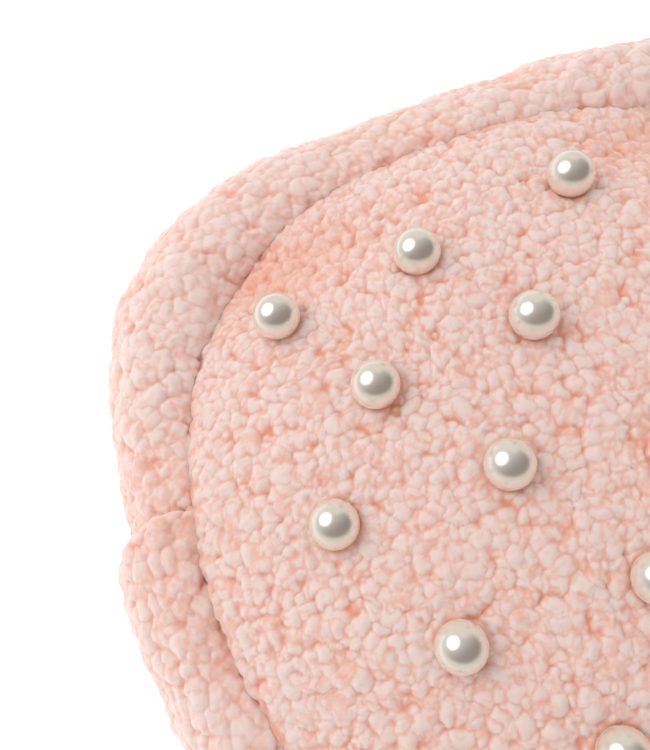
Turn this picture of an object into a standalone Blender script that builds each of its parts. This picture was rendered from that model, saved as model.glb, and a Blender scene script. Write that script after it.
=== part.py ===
"""Ring bearer pillow: teddy-fleece cover with a lapped border strip, set with faux pearls.

Units are metres. +Z is up, +Y points to the pillow's top edge, and the pillow lies on its
back panel with the origin under the middle of its box. Every plan outline of the pillow is
one rounded square scaled about its middle; every upright cut is worked out at each point
round that outline, as a distance out from the middle and a height.
"""

import math

import bmesh
import bpy
import numpy as np

# The pillow as a whole
WIDTH = 0.196
LENGTH = 0.198
HEIGHT = 0.064
SQUARENESS = 3.5                # power of the rounded square; 2 would be an ellipse

# The sewn cover
FLEECE = 0.006                  # backing and curly pile together
SEAM_INSET = 0.0235             # outer edge of the pillow to the front or back seam
ROLL_HALF_WIDTH = 0.016         # border roll, across, from its middle to the outer edge
LAP_OFF_TABLE = 0.0007          # lowest point of the lapped ends above the table
ROLL_DROP = 0.015               # the roll's top below the front panel's middle
FULLNESS = 0.6                  # front panel's dome; 1 would be a parabola, less is plumper
REST = 0.74                     # where the back panel leaves the table, from middle to seam
SEAM_CHAMFER = 0.0012           # turned edge of the fleece at a seam
CLEARANCE = 0.0003              # between pieces that touch

# The border strip's lapped ends, on the -X side
LAP_Y = 0.020                   # end of the outer layer
LAP_LENGTH = 0.014              # overlap of the two ends
LAP_FADE = 0.045                # the outer layer settles back to the roll over this

# The stuffed case inside the cover
CASE_CLOTH = 0.001
THREAD_RADIUS = 0.00036
THREAD_SUNK = 0.0004            # thread's middle below the seam's edge

# Faux pearls, and the rivets that hold them
PEARL_DIAMETER = 0.010
PEARL_PROUD = 0.002             # pearl centre above the pile
PEARL_PITCH = 0.0345            # along a row
ROW_PITCH = 0.026               # between rows
ROW_COUNTS = (4, 3, 4, 3, 4)
HAND_SET = {                    # (row, column): how far a pearl was sewn off its place
    (0, 0): (0.0020, -0.0035),
    (0, 1): (-0.0005, -0.0015),
    (0, 2): (0.0020, 0.0040),
    (1, 0): (-0.0010, 0.0),
    (1, 1): (-0.0015, 0.0020),
    (2, 0): (-0.0005, 0.0030),
    (2, 1): (0.0, 0.0020),
    (3, 0): (-0.0030, 0.0),
}
SHANK_RADIUS = 0.0008
HEAD_RADIUS = 0.0038
HEAD_THICKNESS = 0.0008
HEAD_SUNK = 0.0008              # rivet head above the panel's underside
BORE_DEPTH = 0.0045

# Fineness of the faceted surfaces
EDGE_STEPS = 48
PANEL_SHARES = (0.30, 0.55, 0.74, 0.84, 0.93)
ROLL_STEPS = 11                 # odd, so that one step is on the roll's outer edge
PEARL_STEPS = 10
PEARL_RINGS = 7
PIN_STEPS = 8
THREAD_STEPS = 6

LAP_RISE = FLEECE + CLEARANCE
ROLL_FOOT = LAP_RISE + LAP_OFF_TABLE
SHIFT_X = LAP_RISE / 2          # the lap widens the box on one side only
ROLL_TOP = HEIGHT - ROLL_DROP
ROLL_MIDDLE = (ROLL_TOP + ROLL_FOOT) / 2
ROLL_HALF_HEIGHT = (ROLL_TOP - ROLL_FOOT) / 2
SEAM_SHARE = 1 - SEAM_INSET / (WIDTH / 2)
ROLL_SHARE = 1 - ROLL_HALF_WIDTH / (WIDTH / 2)
SEAM_SINE = math.sqrt(1 - ((ROLL_SHARE - SEAM_SHARE) / (1 - ROLL_SHARE)) ** 2)
SEAM_FRONT_Z = ROLL_MIDDLE + ROLL_HALF_HEIGHT * SEAM_SINE
SEAM_BACK_Z = ROLL_MIDDLE - ROLL_HALF_HEIGHT * SEAM_SINE


# --- plan outline -----------------------------------------------------------------

def smooth(x):
    """Ease from 0 to 1: x squared times (3 - 2x), held at both ends."""
    x = np.clip(x, 0.0, 1.0)
    return x * x * (3 - 2 * x)


def outline():
    """Points round the rounded square, and how far each is along it from the lap's end.

    The curve is |x/a|^n + |y/b|^n = 1, walked anticlockwise in equal steps of its length,
    with one extra point where the overlap stops.
    """
    turn = np.linspace(0, 2 * math.pi, 8001)
    power = 2 / SQUARENESS
    x = WIDTH / 2 * np.sign(np.cos(turn)) * np.abs(np.cos(turn)) ** power
    y = LENGTH / 2 * np.sign(np.sin(turn)) * np.abs(np.sin(turn)) ** power
    along = np.concatenate([[0.0], np.cumsum(np.hypot(np.diff(x), np.diff(y)))])
    whole = along[-1]
    left = (x < 0) & (np.abs(y - LAP_Y) < LENGTH / 8)
    start = np.interp(-LAP_Y, -y[left], along[left])
    steps = np.linspace(LAP_LENGTH, whole, EDGE_STEPS, endpoint=False)
    steps = np.concatenate([[0.0], steps])
    place = (start + steps) % whole
    return np.interp(place, along, x), np.interp(place, along, y), steps, whole


EDGE_X, EDGE_Y, EDGE_ALONG, EDGE_LENGTH = outline()
REACH = np.hypot(EDGE_X, EDGE_Y)


def ring(distance, z):
    """A closed row of points at a distance from the middle (one per step) and a height."""
    distance = np.broadcast_to(distance, REACH.shape)
    height = np.broadcast_to(z, REACH.shape)
    x = EDGE_X / REACH * distance + SHIFT_X
    return np.stack([x, EDGE_Y / REACH * distance, height], axis=-1)


def share_at(x, y):
    """How far out a plan point lies, from 0 in the middle to 1 on the outline."""
    n = SQUARENESS
    return (abs(x / (WIDTH / 2)) ** n + abs(y / (LENGTH / 2)) ** n) ** (1 / n)


def front_height(share):
    """Front panel's top: a plump dome, (1 - share squared) to a power, above the seam."""
    across = min(share / SEAM_SHARE, 1.0)
    return SEAM_FRONT_Z + (HEIGHT - SEAM_FRONT_Z) * (1 - across ** 2) ** FULLNESS


def back_height(share):
    """Back panel's underside: flat on the table, then rising to the seam."""
    return SEAM_BACK_Z * smooth((share / SEAM_SHARE - REST) / (1 - REST))


# --- meshes -----------------------------------------------------------------------

def finish(name, points, faces, material):
    """Make a smooth-shaded object from points and faces, with its normals outward."""
    mesh = bpy.data.meshes.new(name)
    mesh.from_pydata([tuple(point) for point in points], [], faces)
    work = bmesh.new()
    work.from_mesh(mesh)
    bmesh.ops.recalc_face_normals(work, faces=work.faces[:])
    work.to_mesh(mesh)
    work.free()
    mesh.shade_smooth()
    mesh.set_sharp_from_angle(angle=math.radians(40))
    mesh.materials.append(material)
    made = bpy.data.objects.new(name, mesh)
    bpy.context.scene.collection.objects.link(made)
    return made


def stacked_rings(name, rings, top, bottom, material):
    """Skin a stack of closed rings, from one pole to the other."""
    count = len(rings[0])
    points = [top] + [point for row in rings for point in row] + [bottom]
    last = len(points) - 1
    faces = []
    for i in range(count):
        j = (i + 1) % count
        faces.append((0, 1 + i, 1 + j))
        for row in range(len(rings) - 1):
            a = 1 + row * count
            faces.append((a + i, a + count + i, a + count + j, a + j))
        a = 1 + (len(rings) - 1) * count
        faces.append((a + j, a + i, last))
    return finish(name, points, faces, material)


def turned(name, profile, ends, seat, steps, material):
    """A turned shape on a seat: each profile point is a radius and a height up its axis."""
    centre, side, front, axis = seat
    angle = (np.arange(steps) * 2 * math.pi / steps)[:, None]
    round_it = side * np.cos(angle) + front * np.sin(angle)
    rings = [centre + axis * z + round_it * radius for radius, z in profile]
    return stacked_rings(name, rings, centre + axis * ends[0], centre + axis * ends[1], material)


def fabric(name, colour, roughness):
    """Plain cloth material."""
    return principled(name, colour, roughness, 0.0)


def principled(name, colour, roughness, metallic):
    """A Principled material with one colour."""
    material = bpy.data.materials.new(name)
    material.use_nodes = True
    shader = material.node_tree.nodes["Principled BSDF"]
    shader.inputs["Base Color"].default_value = (*colour, 1.0)
    shader.inputs["Roughness"].default_value = roughness
    shader.inputs["Metallic"].default_value = metallic
    material.diffuse_color = (*colour, 1.0)
    return material


# --- cover ------------------------------------------------------------------------

def panel_rings(height, inward):
    """Outer, edge and inner rows of a panel; inward is -1 when its inside lies below."""
    shares = [share * SEAM_SHARE for share in PANEL_SHARES]
    seam = SEAM_SHARE * REACH
    edge = height(SEAM_SHARE)
    rows = [ring(share * REACH, height(share)) for share in shares]
    rows.append(ring(seam - SEAM_CHAMFER, edge))
    rows.append(ring(seam, edge + inward * SEAM_CHAMFER))
    rows.append(ring(seam, edge + inward * FLEECE))
    rows += [ring(share * REACH, height(share) + inward * FLEECE) for share in shares[::-1]]
    return rows


def pearl_places():
    """Plan places of the pearls: centred rows of four and three, a few set off by hand."""
    places = []
    for row, count in enumerate(ROW_COUNTS):
        y = ((len(ROW_COUNTS) - 1) / 2 - row) * ROW_PITCH
        for column in range(count):
            x = (column - (count - 1) / 2) * PEARL_PITCH
            aside = HAND_SET.get((row, column), (0.0, 0.0))
            places.append((x + aside[0], y + aside[1]))
    return places


def pearl_seats():
    """Each pearl's centre, and the two level directions and axis it stands on.

    The axis is square to the front panel, from the panel's slope over a millimetre.
    """
    step = 0.001
    seats = []
    for x, y in pearl_places():
        height = front_height(share_at(x, y))
        slope_x = (front_height(share_at(x + step, y)) - height) / step
        slope_y = (front_height(share_at(x, y + step)) - height) / step
        axis = np.array([-slope_x, -slope_y, 1.0])
        axis /= np.linalg.norm(axis)
        front = np.cross(axis, (1.0, 0.0, 0.0))
        front /= np.linalg.norm(front)
        side = np.cross(front, axis)
        centre = np.array([x + SHIFT_X, y, height]) + axis * PEARL_PROUD
        seats.append((centre, side, front, axis))
    return seats


def front_panel(fleece):
    """Fleece front with a round hollow, a shank hole and a head recess for each pearl."""
    inside = HEIGHT - FLEECE
    panel = stacked_rings("front_panel", panel_rings(front_height, -1),
                          (SHIFT_X, 0, HEIGHT), (SHIFT_X, 0, inside), fleece)
    pocket = PEARL_DIAMETER / 2 + CLEARANCE
    hole = SHANK_RADIUS + CLEARANCE
    recess = HEAD_RADIUS + CLEARANCE
    under = -PEARL_PROUD - FLEECE
    ceiling = under + HEAD_SUNK + HEAD_THICKNESS + CLEARANCE
    profile = [(pocket * math.sin(a), pocket * math.cos(a)) for a in sphere_angles(hole / pocket)]
    profile += [(hole, ceiling), (recess, ceiling), (recess, under - FLEECE / 2)]
    work = bmesh.new()
    for seat in pearl_seats():
        tool = turned("cut", profile, (pocket, under - FLEECE / 2), seat, PEARL_STEPS, fleece)
        work.from_mesh(tool.data)
        bpy.data.objects.remove(tool)
    mesh = bpy.data.meshes.new("pearl_cutter")
    work.to_mesh(mesh)
    work.free()
    cutter = bpy.data.objects.new("pearl_cutter", mesh)
    bpy.context.scene.collection.objects.link(cutter)
    cutter.hide_render = True
    cutter.display_type = "WIRE"
    cut = panel.modifiers.new("pearl seats", "BOOLEAN")
    cut.operation = "DIFFERENCE"
    cut.solver = "EXACT"
    cut.object = cutter
    return panel


def back_panel(fleece):
    """Fleece back, flat where it rests on the table."""
    return stacked_rings("back_panel", panel_rings(back_height, 1),
                         (SHIFT_X, 0, 0), (SHIFT_X, 0, FLEECE), fleece)


def roll_section(reach, lift, lapped):
    """One upright cut through the border strip, as rows of (distance, height).

    Both faces are parts of an ellipse about the roll's middle, turned between the two
    seams. Lift moves the strip outwards: all of it where it laps over the other end, and
    past the overlap only its middle, because its edges go back into the seams.
    """
    middle = ROLL_SHARE * reach
    half_width = reach - middle
    at_seam = lift if lapped else 0.0
    end = SEAM_SHARE * reach + CLEARANCE
    if lapped:
        end += 2 * SEAM_CHAMFER
    edge = math.acos((end - middle) / (half_width + at_seam))
    first = math.acos((end + SEAM_CHAMFER - middle) / (half_width + at_seam))
    inside = math.acos((end - middle) / (half_width - FLEECE + at_seam))
    top = ROLL_MIDDLE + (ROLL_HALF_HEIGHT + at_seam) * math.sin(edge) - SEAM_CHAMFER

    def face(start, thickness):
        """Points on one face, from the front seam round to the back seam."""
        turn = np.linspace(start, -start, ROLL_STEPS)
        rise = at_seam + (lift - at_seam) * smooth((start - np.abs(turn)) / start * 2)
        out = middle + (half_width - thickness + rise) * np.cos(turn)
        return list(zip(out, ROLL_MIDDLE + (ROLL_HALF_HEIGHT - thickness + rise) * np.sin(turn)))

    rows = face(first, 0.0)
    rows.append((end, 2 * ROLL_MIDDLE - top))
    rows += face(inside, FLEECE)[::-1]
    rows.append((end, top))
    return rows


def border_band(fleece):
    """Border strip swept once round the pillow, its outer end lapped over its inner end."""
    along = np.concatenate([EDGE_ALONG, [EDGE_LENGTH, EDGE_LENGTH + LAP_LENGTH]])
    places = list(range(len(EDGE_ALONG))) + [0, 1]
    points = []
    for distance, place in zip(along, places):
        lift = LAP_RISE * (1 - float(smooth((distance - LAP_LENGTH) / LAP_FADE)))
        direction = (EDGE_X[place] / REACH[place], EDGE_Y[place] / REACH[place])
        lapped = distance <= LAP_LENGTH
        for out, z in roll_section(REACH[place], lift, lapped):
            points.append((direction[0] * out + SHIFT_X, direction[1] * out, z))
    count = 2 * ROLL_STEPS + 2
    faces = []
    for row in range(len(along) - 1):
        for i in range(count):
            j = (i + 1) % count
            a = row * count
            faces.append((a + i, a + j, a + count + j, a + count + i))
    for a in (0, (len(along) - 1) * count):
        outer = [a + i for i in range(ROLL_STEPS)]
        inner = [a + 2 * ROLL_STEPS - i for i in range(ROLL_STEPS)]
        for i in range(ROLL_STEPS - 1):
            faces.append((outer[i], outer[i + 1], inner[i + 1], inner[i]))
        faces.append((a + 2 * ROLL_STEPS + 1, outer[0], inner[0]))
        faces.append((outer[-1], a + ROLL_STEPS, inner[-1]))
    return finish("border_band", points, faces, fleece)


# --- stuffed case -----------------------------------------------------------------

def case_section(height, inward):
    """Half of the case's outline, from the middle out to its own seam, as (distance, z).

    It follows the panel's inside, dips at the cover's seam and fills the border roll.
    """
    gap = FLEECE + CLEARANCE
    half_width = (1 - ROLL_SHARE) * REACH - gap
    half_height = ROLL_HALF_HEIGHT - gap
    middle = ROLL_SHARE * REACH
    rows = []
    for share in PANEL_SHARES:
        share *= SEAM_SHARE
        rows.append((share * REACH, np.full(REACH.shape, height(share) + inward * gap)))
    first = np.arccos((SEAM_SHARE * REACH + CLEARANCE - middle) / half_width)
    for part in np.linspace(1, 0, (ROLL_STEPS + 1) // 2):
        angle = first * part
        z = ROLL_MIDDLE - inward * (half_height * np.sin(angle) + CLEARANCE / 2)
        rows.append((middle + half_width * np.cos(angle), z))
    return np.array([row[0] for row in rows]), np.array([row[1] for row in rows])


def inset(out, z, inward, amount):
    """Move a section in by an amount, square to its own line in the upright cut."""
    run = np.gradient(out, axis=0)
    rise = np.gradient(z, axis=0)
    run[-1] = 0
    length = np.hypot(run, rise)
    return out - amount * np.abs(rise) / length * np.sign(-rise * -inward), \
        z + inward * amount * np.abs(run) / length


def case_half(name, height, inward, cotton):
    """One cotton half of the inner case: a thin open dish."""
    out, z = case_section(height, inward)
    out_in, z_in = inset(out, z, inward, CASE_CLOTH)
    rows = [ring(a, b) for a, b in zip(out, z)]
    rows += [ring(a, b) for a, b in zip(out_in[::-1], z_in[::-1])]
    pole = height(0) + inward * (FLEECE + CLEARANCE)
    return stacked_rings(name, rows, (SHIFT_X, 0, pole),
                         (SHIFT_X, 0, pole + inward * CASE_CLOTH), cotton)


def fibre_fill(fibre):
    """The wad of fibre that fills both halves of the case."""
    amount = CASE_CLOTH + CLEARANCE
    out, z = inset(*case_section(front_height, -1), -1, amount)
    rows = [ring(a, b) for a, b in zip(out, z)]
    out, z = inset(*case_section(back_height, 1), 1, amount)
    rows += [ring(a, b) for a, b in zip(out[::-1], z[::-1])]
    skin = FLEECE + CLEARANCE + amount
    return stacked_rings("fibre_fill", rows, (SHIFT_X, 0, HEIGHT - skin),
                         (SHIFT_X, 0, skin), fibre)


# --- sewing threads ---------------------------------------------------------------

def thread_ring(name, z, thread):
    """Seam thread lying in the groove between a panel and the border strip."""
    centre = SEAM_SHARE * REACH + CLEARANCE / 2
    angle = np.arange(THREAD_STEPS) * 2 * math.pi / THREAD_STEPS
    rows = [ring(centre + THREAD_RADIUS * math.cos(a), z + THREAD_RADIUS * math.sin(a))
            for a in angle]
    count = len(REACH)
    faces = []
    for row in range(THREAD_STEPS):
        a = row * count
        b = (row + 1) % THREAD_STEPS * count
        for i in range(count):
            j = (i + 1) % count
            faces.append((a + i, a + j, b + j, b + i))
    return finish(name, [point for row in rows for point in row], faces, thread)


def lap_thread(thread):
    """Hand-sewn thread along the foot of the lapped end, from seam to seam."""
    radius = THREAD_RADIUS
    reach = REACH[0]
    lift = CLEARANCE + radius
    middle = ROLL_SHARE * reach
    outer = (reach - middle + lift, ROLL_HALF_HEIGHT + lift)
    start = math.acos((SEAM_SHARE * reach + 3 * SEAM_CHAMFER - middle) / outer[0])
    turns = np.linspace(start, -start, 2 * ROLL_STEPS)
    side = np.array([-EDGE_Y[0], EDGE_X[0]]) / reach
    forward = np.array([EDGE_X[0], EDGE_Y[0]]) / reach
    points = []
    for turn in turns:
        out = middle + outer[0] * math.cos(turn)
        z = ROLL_MIDDLE + outer[1] * math.sin(turn)
        for a in np.arange(THREAD_STEPS) * 2 * math.pi / THREAD_STEPS:
            across = -(CLEARANCE + radius) + radius * math.cos(a)
            far = out + radius * math.sin(a) * math.cos(turn)
            x, y = forward * far + side * across
            points.append((x + SHIFT_X, y, z + radius * math.sin(a) * math.sin(turn)))
    faces = [tuple(range(THREAD_STEPS))]
    for row in range(len(turns) - 1):
        for i in range(THREAD_STEPS):
            j = (i + 1) % THREAD_STEPS
            a = row * THREAD_STEPS
            faces.append((a + i, a + j, a + THREAD_STEPS + j, a + THREAD_STEPS + i))
    a = (len(turns) - 1) * THREAD_STEPS
    faces.append(tuple(a + i for i in reversed(range(THREAD_STEPS))))
    return finish("lap_seam_thread", points, faces, thread)


# --- pearls and rivets ------------------------------------------------------------

def sphere_angles(edge):
    """Angles down a sphere from near its top to an opening of the given relative radius."""
    return np.linspace(0, math.pi - math.asin(edge), PEARL_RINGS)[1:]


def pearl(number, seat, plastic):
    """A round pearl with a blind bore in its base."""
    radius = PEARL_DIAMETER / 2
    bore = SHANK_RADIUS + CLEARANCE
    profile = [(radius * math.sin(a), radius * math.cos(a)) for a in sphere_angles(bore / radius)]
    end = -radius + BORE_DEPTH
    profile.append((bore, end))
    return turned(f"pearl_{number:02d}", profile, (radius, end), seat, PEARL_STEPS, plastic)


def pearl_pin(number, seat, metal):
    """A flat-headed rivet: the head under the panel, the shank up inside the pearl."""
    under = -PEARL_PROUD - FLEECE + HEAD_SUNK
    tip = -PEARL_DIAMETER / 2 + BORE_DEPTH - CLEARANCE
    profile = [(SHANK_RADIUS, tip), (SHANK_RADIUS, under + HEAD_THICKNESS),
               (HEAD_RADIUS, under + HEAD_THICKNESS), (HEAD_RADIUS, under)]
    return turned(f"pearl_pin_{number:02d}", profile, (tip, under), seat, PIN_STEPS, metal)


# --- assembly ---------------------------------------------------------------------

for old in list(bpy.data.objects):
    bpy.data.objects.remove(old)

pink_fleece = fabric("pink_fleece", (0.82, 0.60, 0.53), 0.95)
cotton_cloth = fabric("cotton_cloth", (0.88, 0.85, 0.80), 0.90)
white_fibre = fabric("white_fibre", (0.93, 0.93, 0.91), 0.95)
pink_thread = fabric("pink_thread", (0.80, 0.58, 0.52), 0.70)
pearl_plastic = principled("pearl_plastic", (0.88, 0.85, 0.80), 0.12, 0.0)
rivet_steel = principled("rivet_steel", (0.62, 0.62, 0.60), 0.30, 1.0)

front_panel(pink_fleece)
border_band(pink_fleece)
back_panel(pink_fleece)
case_half("case_front", front_height, -1, cotton_cloth)
case_half("case_back", back_height, 1, cotton_cloth)
fibre_fill(white_fibre)
thread_ring("front_seam_thread", SEAM_FRONT_Z - THREAD_SUNK, pink_thread)
thread_ring("back_seam_thread", SEAM_BACK_Z + THREAD_SUNK, pink_thread)
lap_thread(pink_thread)
for index, pearl_seat in enumerate(pearl_seats(), start=1):
    pearl(index, pearl_seat, pearl_plastic)
    pearl_pin(index, pearl_seat, rivet_steel)
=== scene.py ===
import math

import bpy
import numpy as np
from mathutils import Matrix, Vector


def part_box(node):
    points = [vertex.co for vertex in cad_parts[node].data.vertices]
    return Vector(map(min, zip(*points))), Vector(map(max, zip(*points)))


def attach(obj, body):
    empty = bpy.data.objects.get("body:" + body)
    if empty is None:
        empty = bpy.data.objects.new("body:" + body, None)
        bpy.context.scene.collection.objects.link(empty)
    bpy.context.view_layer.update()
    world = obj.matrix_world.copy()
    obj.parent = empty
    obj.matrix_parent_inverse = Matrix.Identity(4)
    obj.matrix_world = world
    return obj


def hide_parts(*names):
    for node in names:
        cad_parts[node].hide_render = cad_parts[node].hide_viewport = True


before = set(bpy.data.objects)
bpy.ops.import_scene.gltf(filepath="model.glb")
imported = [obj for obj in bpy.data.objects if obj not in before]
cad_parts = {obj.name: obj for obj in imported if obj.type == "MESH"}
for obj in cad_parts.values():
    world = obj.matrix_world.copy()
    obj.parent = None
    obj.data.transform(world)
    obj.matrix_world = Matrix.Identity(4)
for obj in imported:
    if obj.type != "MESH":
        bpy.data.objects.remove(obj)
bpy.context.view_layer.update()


# --- Fibre fill -------------------------------------------------------------------
# A wad of white polyester fibre, pushed into the inner case through its last open
# stitches. It is loose, so its surface is lumpy and shows matted strands.

FILL_STEPS = 200                 # round the wad
FILL_LUMP = 0.0011               # how far its lumps sink in
FILL_LUMP_SIZE = 0.017
FILL_UNDER = 0.0118              # fleece, cotton and slack over the wad
FILL_WHITE = (0.90, 0.89, 0.87, 1.0)
FILL_SHADE = (0.74, 0.73, 0.71, 1.0)
SQUARENESS = 3.5                 # of the pillow's outline: 2 is an ellipse, higher is squarer
FLEECE = 0.006                   # backing and pile together
ROLL_HALF_WIDTH = 0.016          # of the puffed border, seen from above
CUT_FIRST = 0.08                 # a cut's first and last points over the front and back
CUT_LAST = 0.97
CUT_COUNT = 20
ROLL_CUT_COUNT = 31
ROLL_CUT_PART = 0.86             # share of the roll's arc that a cut follows
DOME_POWER = 0.6
BACK_REST = 0.74                 # share of the back that lies flat

front_low, front_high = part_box("front_panel")
band_low, band_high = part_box("border_band")
back_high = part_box("back_panel")[1]
MIDDLE_X = (front_low.x + front_high.x) / 2
SEAM_HALF = np.array([(front_high.x - front_low.x) / 2, (front_high.y - front_low.y) / 2])
EDGE_HALF = np.array([band_high.x - MIDDLE_X, (band_high.y - band_low.y) / 2])
FRONT_SEAM_Z = front_low.z + FLEECE
BACK_SEAM_Z = back_high.z - FLEECE
ROLL_SHARE = ROLL_HALF_WIDTH / EDGE_HALF[0]
LAP_RISE = MIDDLE_X - EDGE_HALF[0] - band_low.x
ROLL_MIDDLE = (band_low.z + band_high.z) / 2
ROLL_HALF_HEIGHT = (band_high.z - band_low.z) / 2 - LAP_RISE


def chance(cells, salt):
    """A steady number from 0 to 1 for each whole-number cell.

    The three counts are multiplied by large odd numbers, mixed bit by bit and cut to 32 bits.
    """
    mixed = cells[..., 0] * 73856093 ^ cells[..., 1] * 19349663 ^ cells[..., 2] * 83492791
    mixed = (mixed ^ salt * 2654435761) & 0xFFFFFFFF
    mixed = ((mixed ^ (mixed >> 13)) * 1274126177) & 0xFFFFFFFF
    mixed = ((mixed ^ (mixed >> 15)) * 2246822519) & 0xFFFFFFFF
    return (mixed ^ (mixed >> 16)) / 4294967296.0


def swell(points, size, salt):
    """Smooth unevenness from -1 to 1, in lumps of a size.

    Each corner of a cube of that size has its own chance number. Inside the cube they are
    mixed by three minus two times the place, times the place squared, along each side.
    """
    at = points / size
    home = np.floor(at).astype(np.int64)
    ease = (at - home) ** 2 * (3 - 2 * (at - home))
    total = np.zeros(points.shape[:-1])
    for corner in np.ndindex(2, 2, 2):
        weight = np.prod(np.where(corner, ease, 1 - ease), axis=-1)
        total += weight * chance(home + np.array(corner), salt)
    return total * 2 - 1


def make_piece(name, points, faces, material):
    """A smooth-shaded object from a table of points and a table of faces."""
    mesh = bpy.data.meshes.new(name)
    mesh.from_pydata(points.reshape(-1, 3), [], [])
    faces = [np.asarray(part) for part in faces]
    starts = np.concatenate([np.full(len(part), part.shape[1]) for part in faces])
    mesh.loops.add(int(starts.sum()))
    mesh.polygons.add(len(starts))
    mesh.loops.foreach_set("vertex_index", np.concatenate([part.ravel() for part in faces]))
    mesh.polygons.foreach_set("loop_start", np.cumsum(starts) - starts)
    mesh.polygons.foreach_set("use_smooth", np.ones(len(starts), bool))
    mesh.update(calc_edges=True)
    mesh.validate()
    mesh.materials.append(material)
    made = bpy.data.objects.new(name, mesh)
    bpy.context.scene.collection.objects.link(made)
    return made


def grid_faces(rows, columns, start=0, closed=True):
    """The quads between neighbouring rows of a grid, each row closed into a ring or open."""
    index = start + np.arange(rows * columns).reshape(rows, columns)
    if closed:
        index = np.concatenate([index, index[:, :1]], axis=1)
    low, high = index[:-1], index[1:]
    return np.stack([low[:, :-1], low[:, 1:], high[:, 1:], high[:, :-1]], axis=-1).reshape(-1, 4)


def pole_faces(ring, pole, turned):
    """The triangles from a closed ring of points to one point, turned to face the other way."""
    after = np.roll(ring, -1)
    first, second = (after, ring) if turned else (ring, after)
    return np.stack([first, second, np.full(len(ring), pole)], axis=-1)


def new_material(name):
    """A new material, its node tree and its Principled shader."""
    material = bpy.data.materials.new(name)
    material.use_nodes = True
    shader = material.node_tree.nodes["Principled BSDF"]
    return material, material.node_tree, shader


def add_node(tree, kind, values=None, **settings):
    """A node with its settings, and its inputs by name set to a value or linked to a socket."""
    node = tree.nodes.new(kind)
    for key, value in settings.items():
        setattr(node, key, value)
    for key, value in (values or {}).items():
        if isinstance(value, bpy.types.NodeSocket):
            tree.links.new(value, node.inputs[key])
        else:
            node.inputs[key].default_value = value
    return node


def mix_colour(tree, factor, first, second):
    """The socket of a colour mixed from first to second by a factor."""
    node = tree.nodes.new("ShaderNodeMix")
    node.data_type = "RGBA"
    for socket, value in ((node.inputs[0], factor), (node.inputs[6], first),
                          (node.inputs[7], second)):
        if isinstance(value, bpy.types.NodeSocket):
            tree.links.new(value, socket)
        else:
            socket.default_value = value
    return node.outputs[2]


def mottle_group():
    """The uneven grain that fibre, fleece, thread, lacquer and steel all have.

    Noise in the object's own coordinates mixes two colours. The group puts out the mixed
    colour, and the noise as a mask.
    """
    group = bpy.data.node_groups.new("mottle", "ShaderNodeTree")
    for socket, value in (("Scale", 5.0), ("Detail", 2.0), ("Roughness", 0.5),
                          ("Distortion", 0.0)):
        made = group.interface.new_socket(socket, in_out="INPUT", socket_type="NodeSocketFloat")
        made.default_value = value
    for socket, way in (("First", "INPUT"), ("Second", "INPUT"), ("Colour", "OUTPUT")):
        group.interface.new_socket(socket, in_out=way, socket_type="NodeSocketColor")
    group.interface.new_socket("Mask", in_out="OUTPUT", socket_type="NodeSocketFloat")
    given = group.nodes.new("NodeGroupInput").outputs
    place = add_node(group, "ShaderNodeTexCoord").outputs["Object"]
    noise = add_node(group, "ShaderNodeTexNoise", {
        "Vector": place, "Scale": given["Scale"], "Detail": given["Detail"],
        "Roughness": given["Roughness"], "Distortion": given["Distortion"]}).outputs["Fac"]
    result = group.nodes.new("NodeGroupOutput")
    group.links.new(mix_colour(group, noise, given["First"], given["Second"]),
                    result.inputs["Colour"])
    group.links.new(noise, result.inputs["Mask"])
    return group


def wad_material():
    """Matted white fibre: long streaks of noise, lighter on the strands."""
    material, tree, shader = new_material("white_fibre")
    strands = add_node(tree, "ShaderNodeGroup", {
        "Scale": 900.0, "Detail": 5.0, "Distortion": 2.5, "First": FILL_SHADE,
        "Second": FILL_WHITE}, node_tree=mottle).outputs
    tree.links.new(strands["Colour"], shader.inputs["Base Color"])
    bump = add_node(tree, "ShaderNodeBump", {"Height": strands["Mask"], "Strength": 0.6,
                                              "Distance": 0.0004})
    tree.links.new(bump.outputs["Normal"], shader.inputs["Normal"])
    shader.inputs["Roughness"].default_value = 0.9
    shader.inputs["Sheen Weight"].default_value = 0.3
    return material


def pillow_outline(turns):
    """Plan points round the pillow: cosine and sine, each raised to 2 over the squareness."""
    power = 2 / SQUARENESS
    x = np.sign(np.cos(turns)) * np.abs(np.cos(turns)) ** power
    y = np.sign(np.sin(turns)) * np.abs(np.sin(turns)) ** power
    return x, y


def smooth(value):
    """0 below 0, 1 above 1 and a smooth step between."""
    inside = np.clip(value, 0, 1)
    return inside * inside * (3 - 2 * inside)


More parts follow.
